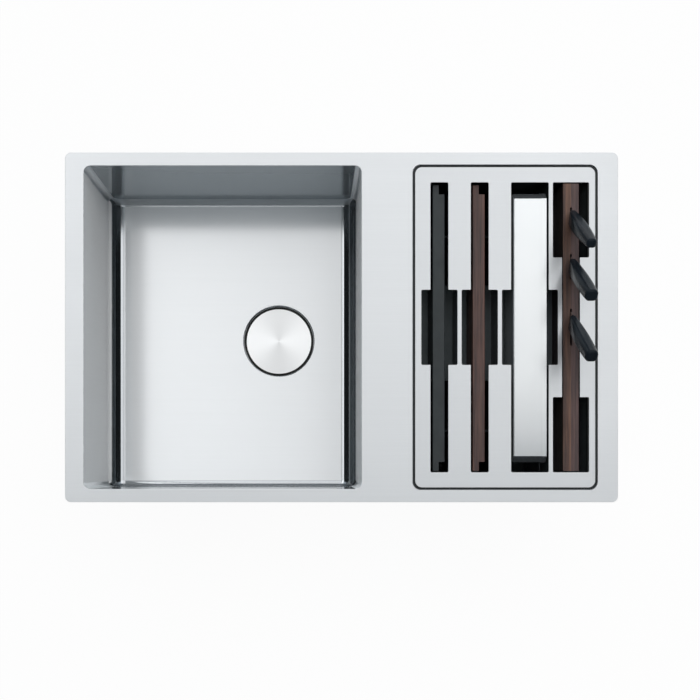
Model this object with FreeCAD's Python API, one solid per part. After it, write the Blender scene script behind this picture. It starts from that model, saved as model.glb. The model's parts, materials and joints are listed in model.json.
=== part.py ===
import FreeCAD, Part
import math
import os

# Workstation kitchen sink in stainless steel, in millimetres, +X right, +Y back, +Z up.
# The origin is the middle of the deck on the plane where the rim seal lies on the worktop.
# A main bowl stands on the left. On the right a lift-out holder fills a second bowl and stores
# two chopping boards, a colander and a knife block with three knives.

V = FreeCAD.Vector
up = V(0, 0, 1)

# Sheet metal and deck
sheet = 1.0
deck_thickness = 1.5
deck_corner_radius = 9.0
deck_edge_round = 0.5
bowl_rim_round = 0.6
left_margin = 27.5
bridge_width = 75.5
right_margin = 30.0
front_margin = 18.0
seal_thickness = 1.0
seal_width = 10.0
seal_inset = 2.0

# Main bowl
bowl_length = 410.0
bowl_end_margin = 19.4
bowl_depth = 200.0
bowl_side_bend = 25.0
bowl_edge_radius = 10.0

# Main waste, below the bowl floor
drain_offset_x = 76.5
drain_offset_y = 4.0
waste_flange_diameter = 102.0
recess_play = 7.5
recess_depth = 11.0
recess_lip_round = 1.4
waste_flange_width = 7.0
waste_cup_diameter = waste_flange_diameter - 2 * waste_flange_width
waste_hole_play = 1.0
waste_step_depth = 14.0
waste_step_width = 6.0
waste_cup_depth = 44.0
waste_seal_width = 10.0
waste_seal_play = 0.5
waste_seal_thickness = 1.0
waste_clamp_seal_thickness = 2.0
waste_body_wall = 3.5
waste_body_play = 2.5
waste_body_floor = 7.0
waste_rim_height = 4.0
waste_cone_height = 18.0
outlet_diameter = 47.8
outlet_length = 26.0
waste_boss_diameter = 16.0
waste_arm_thickness = 4.0
waste_arm_count = 3
cup_hole_diameter = 13.0
cup_hole_count = 6
waste_screw_diameter = 6.0
waste_screw_length = 18.0
waste_screw_head_diameter = 12.0
waste_screw_head_height = 3.5
screw_play = 0.1

# Strainer basket and flush cover
basket_play = 1.0
basket_wall = 0.8
basket_depth = 20.0
basket_hole_diameter = 5.0
basket_hole_count = 12
basket_stem_diameter = 6.0
basket_knob_diameter = 18.0
basket_knob_height = 6.0
basket_knob_drop = 6.0
basket_knob_round = 1.5
cover_play = 4.5
cover_thickness = 1.2
cover_rise = 0.8
cover_foot_diameter = 6.5
cover_foot_height = 1.5
cover_foot_count = 4

# Accessory bowl and its waste
ledge_width = 10.0
box_corner_radius = 12.0
box_side_bend = 15.0
box_edge_radius = 10.0
box_flange_diameter = 70.0
box_flange_thickness = 1.5
box_hole_diameter = 54.0
box_seal_thickness = 2.0
box_grid_hole_diameter = 7.0
box_grid_hole_count = 8
box_body_wall = 3.0
box_body_height = 22.0
box_tail_diameter = 33.0
box_tail_length = 24.0
box_screw_diameter = 5.0
box_screw_length = 16.0
box_screw_head_diameter = 10.0
box_screw_head_height = 2.5
box_arm_count = 3
box_arm_thickness = 4.0

# Holder: panel bonded on a black tray
panel_thickness = 1.5
panel_seam = 3.8
panel_corner_radius = 10.0
panel_side_margin = 8.9
panel_end_margin = 22.2
panel_seal_thickness = 1.0
panel_seal_width = 9.0
panel_seal_inset = 1.0
finger_length = 111.0
finger_reach = 13.5
finger_bridge = 6.0
slot_round = 2.2
tray_flange_thickness = 2.0
tray_flange_play = 0.5
tray_wall = 2.5
tray_play = 1.5
tray_floor_gap = 7.5
tray_side_bend = 14.0
tray_edge_radius = 9.0
divider_thickness = 3.0
finger_notch_depth = 64.0
finger_floor = 2.5
finger_floor_margin = 18.0
bar_height = 4.0
bar_width = 5.0
bar_offset = 150.0
guide_play = 0.5
guide_height = 110.0
guide_thickness = 3.0
block_guide_offset = 55.0
drip_hole_diameter = 9.0
drip_hole_spacing = 50.0

# Chopping boards
board_rest = 7.0
slot_end_play = 2.0
board_thickness = 18.0
board_slot_play = 4.25
board_sink = 9.0
board_tongue_thickness = 9.0
rebate_play = 6.5
board_edge_round = 1.0

# Colander stored on its side, open towards +X
colander_depth = 49.0
colander_slot_play = 3.3
colander_sheet = 1.0
colander_corner = 9.0
colander_bottom_round = 2.5
colander_end_flange = 13.0
colander_flange_inset = 45.0
colander_hem_width = 7.0
colander_hem_rise = 0.5
colander_hole_diameter = 5.0
colander_hole_spacing = 12.0
colander_plain_border = 62.0

# Knife block of two leaves
leaf_thickness = 11.75
block_slot_play = 1.5
block_floor = 22.0
block_edge_round = 1.0
dowel_diameter = 8.0
dowel_depth = 7.0
dowel_play = 0.1
dowel_inset = 22.0

# Knives, leaning to the front, handles above the block
knife_lean = 30.0
first_knife_inset = 48.0
paring_to_utility = 71.0
utility_to_chef = 83.0
handle_thickness = 19.0
handle_height = 21.0
handle_front_thickness = 9.0
handle_front_height = 22.5
handle_butt_thickness = 17.5
handle_butt_height = 16.5
handle_belly_place = 0.45
handle_corner_share = 0.36
handle_clearance = 0.5
handle_butt_round = 4.0
handle_front_round = 1.5
paring_butt_share = 0.76
paring_handle_length = 124.0
utility_handle_length = 124.0
chef_handle_length = 124.0
paring_reach = 60.0
paring_straight = 21.0
paring_spine = 8.0
paring_edge = 11.0
utility_reach = 120.0
utility_straight = 42.0
utility_spine = 10.0
utility_edge = 16.0
chef_reach = 165.0
chef_straight = 58.0
chef_spine = 12.0
chef_edge = 29.0
blade_thickness = 2.0
blade_play = 0.4
pocket_play = 3.0
pocket_end_play = 4.0
tang_length = 70.0
tang_height = 10.0
tang_play = 0.1

# Fixing clips and sound pads under the deck
worktop_thickness = 40.0
clip_width = 20.0
clip_sheet = 2.0
clip_height = 26.0
clip_edge_gap = 1.5
clip_spacing = 260.0
stud_diameter = 5.0
stud_length = 9.0
stud_drop = 14.0
nut_diameter = 9.0
nut_height = 4.0
pad_thickness = 2.5
pad_margin = 40.0
pad_drain_gap = 20.0

# Sizes that follow from the ones above
lean = math.radians(knife_lean)
deck_top = seal_thickness + deck_thickness
accessory_length = bowl_length + 2 * board_rest
rebate_length = board_rest + rebate_play
slot_length = accessory_length + 2 * slot_end_play
board_slot = board_thickness + 2 * board_slot_play
colander_slot = colander_depth + 2 * colander_slot_play
block_thickness = 2 * leaf_thickness
block_slot = block_thickness + 2 * block_slot_play
board_finger = board_slot + 2 * finger_reach
colander_finger = colander_slot + 2 * finger_reach
block_finger = block_slot + 2 * finger_reach
board_pair = 2 * (board_finger + finger_bridge)
row_length = board_pair + finger_reach + colander_slot + finger_bridge + block_finger
panel_length = row_length + 2 * panel_side_margin
panel_width = slot_length + 2 * panel_end_margin
box_length = panel_length + 2 * panel_seam
box_width = panel_width + 2 * panel_seam
deck_length = left_margin + bowl_length + bridge_width + box_length + right_margin
deck_width = box_width + 2 * front_margin
bowl_width = deck_width - 2 * bowl_end_margin
bowl_left = -deck_length / 2 + left_margin
bowl_x = bowl_left + bowl_length / 2
bowl_floor = deck_top - bowl_depth
box_x = deck_length / 2 - right_margin - box_length / 2
drain_x = bowl_x + drain_offset_x
drain_y = drain_offset_y

# Centres of the four slots along X
panel_left = box_x - panel_length / 2
black_board_x = panel_left + panel_side_margin + board_finger / 2
walnut_board_x = black_board_x + board_finger + finger_bridge
colander_x = walnut_board_x + board_finger / 2 + finger_bridge + colander_finger / 2
block_x = colander_x + colander_slot / 2 + finger_bridge + block_finger / 2

# Heights in the holder, from the panel down to the floor of its bowl
panel_low = deck_top - panel_thickness
tray_top = panel_low - panel_seal_thickness
ledge_top = tray_top - tray_flange_thickness
pocket_fall = (chef_reach + pocket_end_play) * math.cos(lean) + (chef_edge + pocket_play) * math.sin(lean)
block_height = pocket_fall + block_floor
rest_height = deck_top - block_height
tray_floor_top = rest_height - bar_height
tray_low = tray_floor_top - tray_wall
box_floor = tray_low - tray_floor_gap
box_inner_length = box_length - 2 * ledge_width
box_inner_width = box_width - 2 * ledge_width
tray_length = box_inner_length - 2 * tray_play
tray_width = box_inner_width - 2 * tray_play
guide_top = rest_height + guide_height


def save(shape, node):
    shape.exportStep("parts/" + node + ".step")


def slab(x_mid, y_mid, length, width, z_low, z_high):
    corner = V(x_mid - length / 2, y_mid - width / 2, z_low)
    return Part.makeBox(length, width, z_high - z_low, corner)


def upright_edges(shape):
    edges = []
    for edge in shape.Edges:
        start = edge.Vertexes[0].Point
        end = edge.Vertexes[-1].Point
        if abs(start.x - end.x) < 1e-6 and abs(start.y - end.y) < 1e-6:
            edges.append(edge)
    return edges


def rounded_slab(x_mid, y_mid, length, width, radius, z_low, z_high):
    block = slab(x_mid, y_mid, length, width, z_low, z_high)
    return block.makeFillet(radius, upright_edges(block))


def level_edges(shape, height):
    edges = []
    for edge in shape.Edges:
        box = edge.BoundBox
        if abs(box.ZMin - height) < 1e-4 and abs(box.ZMax - height) < 1e-4:
            edges.append(edge)
    return edges


def round_edges(shape, height, radius):
    edges = []
    for edge in level_edges(shape, height):
        if isinstance(edge.Curve, Part.Circle) and abs(edge.Curve.Radius - radius) < 1e-4:
            edges.append(edge)
    return edges


def disc(x_mid, y_mid, radius, z_low, z_high):
    return Part.makeCylinder(radius, z_high - z_low, V(x_mid, y_mid, z_low), up)


def ring(x_mid, y_mid, outer, inner, z_low, z_high):
    return disc(x_mid, y_mid, outer, z_low, z_high).cut(disc(x_mid, y_mid, inner, z_low, z_high))


def fuse_all(shapes):
    return shapes[0].multiFuse(shapes[1:]).removeSplitter()


def hole_circle(x_mid, y_mid, pitch_radius, radius, count, z_low, z_high):
    holes = []
    for number in range(count):
        angle = 2 * math.pi * number / count
        x = x_mid + pitch_radius * math.cos(angle)
        y = y_mid + pitch_radius * math.sin(angle)
        holes.append(disc(x, y, radius, z_low, z_high))
    return Part.Compound(holes)


def basin(x_mid, length, width, floor, top, side_bend, edge_radius):
    """Solid in the shape of a bowl's hollow: wide bends left and right, small ones front and back."""
    left = x_mid - length / 2
    right = x_mid + length / 2
    front = -width / 2
    slant = side_bend * (1 - math.sqrt(0.5))
    top_left = V(left, front, top)
    top_right = V(right, front, top)
    low_left = V(left, front, floor + side_bend)
    floor_left = V(left + side_bend, front, floor)
    floor_right = V(right - side_bend, front, floor)
    low_right = V(right, front, floor + side_bend)
    outline = Part.Wire([
        Part.makeLine(top_left, low_left),
        Part.Arc(low_left, V(left + slant, front, floor + slant), floor_left).toShape(),
        Part.makeLine(floor_left, floor_right),
        Part.Arc(floor_right, V(right - slant, front, floor + slant), low_right).toShape(),
        Part.makeLine(low_right, top_right),
        Part.makeLine(top_right, top_left),
    ])
    block = Part.Face(outline).extrude(V(0, width, 0))
    chains = []
    for edge in block.Edges:
        box = edge.BoundBox
        on_end = box.YLength < 1e-6
        on_top = box.ZMin > top - 1e-6
        if on_end and not on_top:
            chains.append(edge)
    return block.makeFillet(edge_radius, chains)


def deck_plate():
    plate = rounded_slab(0, 0, deck_length, deck_width, deck_corner_radius, seal_thickness, deck_top)
    plate = plate.cut(rounded_slab(box_x, 0, box_length, box_width, box_corner_radius, 0, deck_top))
    plate = plate.makeFillet(deck_edge_round, level_edges(plate, deck_top))
    opening = rounded_slab(bowl_x, 0, bowl_length, bowl_width, bowl_edge_radius, 0, deck_top)
    plate = plate.cut(opening)
    rim = []
    for edge in level_edges(plate, deck_top):
        if opening.BoundBox.isInside(edge.CenterOfMass):
            rim.append(edge)
    return plate.makeFillet(bowl_rim_round, rim)


def rim_seal():
    outer_length = deck_length - 2 * seal_inset
    outer_width = deck_width - 2 * seal_inset
    outer_radius = deck_corner_radius - seal_inset
    strip = rounded_slab(0, 0, outer_length, outer_width, outer_radius, 0, seal_thickness)
    hole_length = outer_length - 2 * seal_width
    hole_width = outer_width - 2 * seal_width
    return strip.cut(slab(0, 0, hole_length, hole_width, 0, seal_thickness))


def main_bowl():
    shell = basin(
        bowl_x, bowl_length + 2 * sheet, bowl_width + 2 * sheet, bowl_floor - sheet,
        seal_thickness, bowl_side_bend + sheet, bowl_edge_radius + sheet,
    )
    shell = shell.cut(basin(
        bowl_x, bowl_length, bowl_width, bowl_floor,
        seal_thickness, bowl_side_bend, bowl_edge_radius,
    ))
    recess_radius = waste_flange_diameter / 2 + recess_play
    hole_radius = waste_cup_diameter / 2 + waste_hole_play
    recess_low = bowl_floor - recess_depth
    shell = shell.fuse(disc(drain_x, drain_y, recess_radius + sheet, recess_low - sheet, bowl_floor))
    shell = shell.cut(disc(drain_x, drain_y, recess_radius, recess_low, bowl_floor))
    shell = shell.cut(disc(drain_x, drain_y, hole_radius, recess_low - sheet, recess_low))
    shell = shell.removeSplitter()
    shell = shell.makeFillet(recess_lip_round, round_edges(shell, bowl_floor, recess_radius))
    under = round_edges(shell, bowl_floor - sheet, recess_radius + sheet)
    return shell.makeFillet(recess_lip_round - sheet, under)


def accessory_bowl():
    outer = rounded_slab(
        box_x, 0, box_length + 2 * sheet, box_width + 2 * sheet,
        box_corner_radius + sheet, ledge_top - sheet, seal_thickness,
    )
    outer = outer.fuse(basin(
        box_x, box_inner_length + 2 * sheet, box_inner_width + 2 * sheet, box_floor - sheet,
        ledge_top, box_side_bend + sheet, box_edge_radius + sheet,
    ))
    shell = outer.cut(rounded_slab(
        box_x, 0, box_length, box_width, box_corner_radius, ledge_top, seal_thickness,
    ))
    shell = shell.cut(basin(
        box_x, box_inner_length, box_inner_width, box_floor, ledge_top, box_side_bend, box_edge_radius,
    ))
    shell = shell.cut(disc(box_x, 0, box_hole_diameter / 2, box_floor - sheet, box_floor))
    return shell.removeSplitter()


# Main waste: levels from the recess down
recess_low = bowl_floor - recess_depth
flange_low = recess_low + waste_seal_thickness
flange_top = flange_low + sheet
step_top = flange_top - waste_step_depth
cup_floor = flange_top - waste_cup_depth
cup_low = cup_floor - sheet
clamp_top = recess_low - sheet
body_top = clamp_top - waste_clamp_seal_thickness
body_low = cup_low - waste_body_floor
cone_low = body_low - waste_cone_height
outlet_low = cone_low - outlet_length
cup_radius = waste_cup_diameter / 2
inner_cup_radius = cup_radius - waste_step_width
hole_radius = cup_radius + waste_hole_play
body_radius = cup_radius + waste_body_play + waste_body_wall
outlet_radius = outlet_diameter / 2
screw_radius = waste_screw_diameter / 2


def waste_top_seal():
    seal_radius = waste_flange_diameter / 2 + recess_play - waste_seal_play
    return ring(drain_x, drain_y, seal_radius, hole_radius, recess_low, flange_low)


def waste_clamp_seal():
    return ring(drain_x, drain_y, hole_radius + waste_seal_width, hole_radius, body_top, clamp_top)


def waste_flange():
    cup = fuse_all([
        disc(drain_x, drain_y, waste_flange_diameter / 2, flange_low, flange_top),
        disc(drain_x, drain_y, cup_radius, step_top - sheet, flange_top),
        disc(drain_x, drain_y, inner_cup_radius, cup_low, step_top),
    ])
    cup = cup.cut(disc(drain_x, drain_y, cup_radius - sheet, step_top, flange_top))
    cup = cup.cut(disc(drain_x, drain_y, inner_cup_radius - sheet, cup_floor, step_top))
    pitch = (inner_cup_radius + waste_boss_diameter / 2) / 2
    cup = cup.cut(hole_circle(
        drain_x, drain_y, pitch, cup_hole_diameter / 2, cup_hole_count, cup_low, cup_floor,
    ))
    return cup.cut(disc(drain_x, drain_y, screw_radius + screw_play, cup_low, cup_floor))


def funnel(x_mid, y_mid, wide, narrow, z_low, z_high):
    return Part.makeCone(narrow, wide, z_high - z_low, V(x_mid, y_mid, z_low), up)


def waste_body():
    wall = waste_body_wall
    body = fuse_all([
        disc(drain_x, drain_y, hole_radius + waste_seal_width, body_top - waste_rim_height, body_top),
        disc(drain_x, drain_y, body_radius, body_low, body_top),
        funnel(drain_x, drain_y, body_radius, outlet_radius, cone_low, body_low),
        disc(drain_x, drain_y, outlet_radius, outlet_low, cone_low),
    ])
    hollow = fuse_all([
        disc(drain_x, drain_y, body_radius - wall, body_low, body_top),
        funnel(drain_x, drain_y, body_radius - wall, outlet_radius - wall, cone_low, body_low),
        disc(drain_x, drain_y, outlet_radius - wall, outlet_low, cone_low),
    ])
    body = body.cut(hollow)
    boss_low = cup_low - waste_screw_length
    arms = [disc(drain_x, drain_y, waste_boss_diameter / 2, boss_low, cup_low)]
    for number in range(waste_arm_count):
        arm = slab(
            drain_x + body_radius / 2, drain_y, body_radius - wall / 2, waste_arm_thickness,
            body_low, cup_low,
        )
        arm.rotate(V(drain_x, drain_y, 0), up, 360.0 * number / waste_arm_count)
        arms.append(arm)
    body = fuse_all([body] + arms)
    return body.cut(disc(drain_x, drain_y, screw_radius + screw_play, boss_low, cup_low))


def waste_screw():
    head = disc(
        drain_x, drain_y, waste_screw_head_diameter / 2, cup_floor, cup_floor + waste_screw_head_height,
    )
    shank = disc(drain_x, drain_y, screw_radius, cup_floor - waste_screw_length, cup_floor)
    return head.fuse(shank).removeSplitter()


# Strainer basket: its rim hangs on the step of the cup
basket_radius = inner_cup_radius - sheet - basket_play
basket_rim_radius = cup_radius - sheet - basket_play
basket_top = step_top + basket_wall
basket_floor = step_top - basket_depth
knob_top = flange_top - basket_knob_drop


def strainer_basket():
    wall = basket_wall
    basket = disc(drain_x, drain_y, basket_rim_radius, step_top, basket_top)
    basket = basket.fuse(disc(drain_x, drain_y, basket_radius, basket_floor - wall, basket_top))
    basket = basket.cut(disc(drain_x, drain_y, basket_radius - wall, basket_floor, basket_top))
    inner_pitch = basket_stem_diameter / 2 + 2 * basket_hole_diameter
    outer_pitch = basket_radius - wall - basket_hole_diameter
    for pitch in (inner_pitch, outer_pitch):
        basket = basket.cut(hole_circle(
            drain_x, drain_y, pitch, basket_hole_diameter / 2, basket_hole_count,
            basket_floor - wall, basket_floor,
        ))
    slots = []
    for number in range(basket_hole_count):
        slot = slab(
            drain_x + basket_radius, drain_y, 4 * wall, basket_hole_diameter,
            basket_floor + basket_hole_diameter, step_top - basket_hole_diameter,
        )
        slot.rotate(V(drain_x, drain_y, 0), up, 360.0 * number / basket_hole_count)
        slots.append(slot)
    return basket.cut(Part.Compound(slots)).removeSplitter()


def basket_knob():
    stem = disc(drain_x, drain_y, basket_stem_diameter / 2, basket_floor, knob_top)
    knob = disc(drain_x, drain_y, basket_knob_diameter / 2, knob_top - basket_knob_height, knob_top)
    knob = knob.makeFillet(basket_knob_round, level_edges(knob, knob_top))
    return stem.fuse(knob).removeSplitter()


# Flush cover: a shallow cone on four feet that stand on the waste flange
cover_radius = waste_flange_diameter / 2 + recess_play - cover_play
cover_low = flange_top + cover_foot_height
foot_pitch = (cup_radius + waste_flange_diameter / 2) / 2


def waste_cover():
    outline = Part.makePolygon([
        V(0, 0, cover_low),
        V(cover_radius, 0, cover_low),
        V(cover_radius, 0, cover_low + cover_thickness),
        V(0, 0, cover_low + cover_thickness + cover_rise),
        V(0, 0, cover_low),
    ])
    cover = Part.Face(outline).revolve(V(0, 0, 0), up, 360)
    cover.translate(V(drain_x, drain_y, 0))
    return cover


def cover_feet():
    return hole_circle(
        drain_x, drain_y, foot_pitch, cover_foot_diameter / 2, cover_foot_count, flange_top, cover_low,
    )


# Waste of the accessory bowl: a screwed grid over a bottle-shaped outlet
grid_top = box_floor + box_flange_thickness
box_clamp = box_floor - sheet
box_body_top = box_clamp - box_seal_thickness
box_body_low = box_body_top - box_body_height
box_tail_low = box_body_low - box_tail_length
box_screw_low = grid_top - box_screw_length


def box_waste_grid():
    grid = disc(box_x, 0, box_flange_diameter / 2, box_floor, grid_top)
    pitch = box_hole_diameter / 2 - box_grid_hole_diameter
    grid = grid.cut(hole_circle(
        box_x, 0, pitch, box_grid_hole_diameter / 2, box_grid_hole_count, box_floor, grid_top,
    ))
    return grid.cut(disc(box_x, 0, box_screw_diameter / 2 + screw_play, box_floor, grid_top))


def box_waste_seal():
    return ring(box_x, 0, box_flange_diameter / 2, box_hole_diameter / 2, box_body_top, box_clamp)


def box_waste_body():
    wall = box_body_wall
    body = disc(box_x, 0, box_flange_diameter / 2, box_body_low, box_body_top)
    body = body.cut(disc(box_x, 0, box_hole_diameter / 2, box_body_low + wall, box_body_top))
    body = body.fuse(disc(box_x, 0, box_tail_diameter / 2, box_tail_low, box_body_low))
    body = body.cut(disc(box_x, 0, box_tail_diameter / 2 - wall, box_tail_low, box_body_low + wall))
    boss_low = box_screw_low - wall
    arms = [disc(box_x, 0, box_screw_head_diameter / 2, boss_low, box_body_top)]
    for number in range(box_arm_count):
        arm = slab(
            box_x + box_hole_diameter / 4, 0, box_hole_diameter / 2 + wall, box_arm_thickness,
            boss_low, box_body_top - wall,
        )
        arm.rotate(V(box_x, 0, 0), up, 360.0 * number / box_arm_count)
        arms.append(arm)
    body = fuse_all([body] + arms)
    return body.cut(disc(box_x, 0, box_screw_diameter / 2 + screw_play, boss_low, box_body_top))


def box_waste_screw():
    head = disc(
        box_x, 0, box_screw_head_diameter / 2, grid_top, grid_top + box_screw_head_height,
    )
    shank = disc(box_x, 0, box_screw_diameter / 2, box_screw_low, grid_top)
    return head.fuse(shank).removeSplitter()


def slot_cut(x_mid, width, low, high):
    return rounded_slab(x_mid, 0, width, slot_length, slot_round, low, high)


def finger_cut(x_mid, width, y_mid, low, high):
    return rounded_slab(x_mid, y_mid, width, finger_length, slot_round, low, high)


def accessory_panel():
    panel = rounded_slab(
        box_x, 0, panel_length, panel_width, panel_corner_radius, panel_low, deck_top,
    )
    end_finger_y = (slot_length - finger_length) / 2
    cuts = [
        slot_cut(black_board_x, board_slot, panel_low, deck_top),
        finger_cut(black_board_x, board_finger, 0, panel_low, deck_top),
        slot_cut(walnut_board_x, board_slot, panel_low, deck_top),
        finger_cut(walnut_board_x, board_finger, 0, panel_low, deck_top),
        slot_cut(colander_x, colander_slot, panel_low, deck_top),
        finger_cut(colander_x, colander_finger, 0, panel_low, deck_top),
        slot_cut(block_x, block_slot, panel_low, deck_top),
        finger_cut(block_x, block_finger, end_finger_y, panel_low, deck_top),
        finger_cut(block_x, block_finger, -end_finger_y, panel_low, deck_top),
    ]
    return panel.cut(fuse_all(cuts)).removeSplitter()


def panel_seal():
    length = panel_length - 2 * panel_seal_inset
    width = panel_width - 2 * panel_seal_inset
    radius = panel_corner_radius - panel_seal_inset
    strip = rounded_slab(box_x, 0, length, width, radius, tray_top, panel_low)
    inner_length = length - 2 * panel_seal_width
    inner_width = width - 2 * panel_seal_width
    strip = strip.cut(slab(box_x, 0, inner_length, inner_width, tray_top, panel_low))
    side_cut = finger_reach + board_slot / 2
    strip = strip.cut(finger_cut(black_board_x, 2 * side_cut, 0, tray_top, panel_low))
    end_finger_y = (slot_length - finger_length) / 2
    for side in (-1, 1):
        strip = strip.cut(finger_cut(block_x, block_finger, side * end_finger_y, tray_top, panel_low))
    return strip


# X of the walls between the four compartments of the tray
first_divider_x = (black_board_x + walnut_board_x) / 2
second_divider_x = walnut_board_x + board_finger / 2 + finger_bridge / 2
third_divider_x = colander_x + colander_slot / 2 + finger_bridge / 2


def guide_pair(x_mid, half_gap, left_wall, right_wall, offset):
    """Upright ribs from the walls of a compartment to just beside the piece stored in it."""
    ribs = []
    for y in (-offset, offset):
        left_end = x_mid - half_gap
        right_end = x_mid + half_gap
        for start, end in ((left_wall, left_end), (right_end, right_wall)):
            ribs.append(slab(
                (start + end) / 2, y, end - start, guide_thickness, tray_floor_top, guide_top,
            ))
    return ribs


def holder_tray():
    flange = rounded_slab(
        box_x, 0, box_length - 2 * tray_flange_play, box_width - 2 * tray_flange_play,
        box_corner_radius - tray_flange_play, ledge_top, tray_top,
    )
    body = basin(box_x, tray_length, tray_width, tray_low, tray_top, tray_side_bend, tray_edge_radius)
    tray = flange.fuse(body)
    inner_length = tray_length - 2 * tray_wall
    inner_width = tray_width - 2 * tray_wall
    tray = tray.cut(basin(
        box_x, inner_length, inner_width, tray_floor_top, tray_top,
        tray_side_bend - tray_wall, tray_edge_radius - tray_wall,
    ))
    left_wall = box_x - inner_length / 2
    right_wall = box_x + inner_length / 2
    inner_faces = divider_thickness / 2
    ribs = []
    for x in (first_divider_x, second_divider_x, third_divider_x):
        ribs.append(slab(x, 0, divider_thickness, inner_width, tray_floor_top, tray_top))
    for y in (-bar_offset, bar_offset, -block_guide_offset, block_guide_offset):
        ribs.append(slab(
            box_x, y, inner_length - 2 * tray_side_bend, bar_width, tray_floor_top, rest_height,
        ))
    board_gap = board_thickness / 2 + guide_play
    colander_gap = colander_depth / 2 + guide_play
    block_gap = block_thickness / 2 + guide_play
    ribs += guide_pair(black_board_x, board_gap, left_wall, first_divider_x - inner_faces, bar_offset)
    ribs += guide_pair(
        walnut_board_x, board_gap, first_divider_x + inner_faces, second_divider_x - inner_faces, bar_offset,
    )
    ribs += guide_pair(
        colander_x, colander_gap, second_divider_x + inner_faces, third_divider_x - inner_faces, bar_offset,
    )
    ribs += guide_pair(block_x, block_gap, third_divider_x + inner_faces, right_wall, block_guide_offset)
    tray = fuse_all([tray] + ribs)
    well_top = tray_top - finger_notch_depth
    well_low = well_top - finger_floor
    tray = tray.cut(slab(third_divider_x, 0, divider_thickness, finger_length, well_top, tray_top))
    middle = finger_length / 2 + finger_floor_margin
    wells = []
    for start, end in (
        (left_wall, black_board_x - board_gap),
        (black_board_x + board_gap, walnut_board_x - board_gap),
        (walnut_board_x + board_gap, colander_x - colander_gap),
        (colander_x + colander_gap, block_x - block_gap),
    ):
        wells.append(slab((start + end) / 2, 0, end - start, 2 * middle, well_low, well_top))
    end_low = slot_length / 2 - finger_length - finger_floor_margin
    end_length = inner_width / 2 - end_low
    for start, end in ((third_divider_x, block_x - block_gap), (block_x + block_gap, right_wall)):
        for side in (-1, 1):
            y = side * (end_low + end_length / 2)
            wells.append(slab((start + end) / 2, y, end - start, end_length, well_low, well_top))
    tray = fuse_all([tray] + wells)
    holes = []
    count = int((inner_width / 2 - drip_hole_spacing) // drip_hole_spacing)
    for x in (black_board_x, walnut_board_x, colander_x, block_x):
        for number in range(-count, count + 1):
            y = drip_hole_spacing * (number + 0.5)
            holes.append(disc(x, y, drip_hole_diameter / 2, tray_low, tray_floor_top))
    return tray.cut(Part.Compound(holes))


def chopping_board(x_mid):
    top = deck_top - board_sink
    board = slab(x_mid, 0, board_thickness, accessory_length, rest_height, top)
    long_edges = []
    for edge in board.Edges:
        if edge.BoundBox.YLength > accessory_length / 2:
            long_edges.append(edge)
    board = board.makeFillet(board_edge_round, long_edges)
    cut_depth = board_thickness - board_tongue_thickness
    for side in (-1, 1):
        y = side * (accessory_length - rebate_length) / 2
        board = board.cut(slab(
            x_mid + board_tongue_thickness / 2, y, cut_depth, rebate_length, rest_height, top,
        ))
    return board


def colander():
    """Dish with bevelled corners, a hem round its open side and a flange at each end."""
    height = block_height
    low = rest_height
    x_left = colander_x - colander_depth / 2
    x_right = colander_x + colander_depth / 2
    body_length = accessory_length - 2 * colander_end_flange
    body_low = low + colander_hem_rise
    body_high = low + height - colander_hem_rise

    def bevelled(wall, start):
        block = Part.makeBox(
            x_right - start, body_length - 2 * wall, body_high - body_low - 2 * wall,
            V(start, -body_length / 2 + wall, body_low + wall),
        )
        corners = []
        for edge in block.Edges:
            if edge.BoundBox.YLength < 1e-4 and edge.BoundBox.ZLength < 1e-4:
                corners.append(edge)
        return block.makeChamfer(colander_corner - wall * (2 - math.sqrt(2)), corners)

    def dish(wall):
        block = bevelled(wall, x_left + wall)
        floor_edges = []
        for edge in block.Edges:
            if edge.BoundBox.XMax < x_left + wall + 1e-4:
                floor_edges.append(edge)
        return block.makeFillet(colander_bottom_round - wall, floor_edges)

    flange = Part.makeBox(
        colander_sheet, accessory_length, height - 2 * colander_flange_inset,
        V(x_right - colander_sheet, -accessory_length / 2, low + colander_flange_inset),
    )
    hem = bevelled(-colander_hem_rise, x_right - colander_hem_width)
    shell = fuse_all([dish(0), hem, flange]).cut(dish(colander_sheet))
    holes = []
    half_y = body_length / 2 - colander_hole_spacing
    half_z = (body_high - body_low) / 2 - colander_plain_border
    count_y = int(half_y // colander_hole_spacing)
    count_z = int(half_z // colander_hole_spacing)
    z_mid = (body_low + body_high) / 2
    for row in range(-count_z, count_z + 1):
        for column in range(-count_y, count_y + 1):
            place = V(x_left, column * colander_hole_spacing, z_mid + row * colander_hole_spacing)
            holes.append(Part.makeCylinder(colander_hole_diameter / 2, colander_sheet, place, V(1, 0, 0)))
    return shell.removeSplitter().cut(Part.Compound(holes))


# Knives: each stands in its own frame, with local Z along the handle and local Y towards the spine
paring_y = accessory_length / 2 - first_knife_inset
utility_y = paring_y - paring_to_utility
chef_y = utility_y - utility_to_chef


# Height over the block at which the front of a handle clears it
handle_start = (handle_front_height / 2 * math.sin(lean) + handle_clearance) / math.cos(lean)


def stand_knife(shape, y):
    turn = FreeCAD.Rotation(V(1, 0, 0), knife_lean)
    shape.Placement = FreeCAD.Placement(V(block_x, y, deck_top), turn)
    return shape


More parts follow.
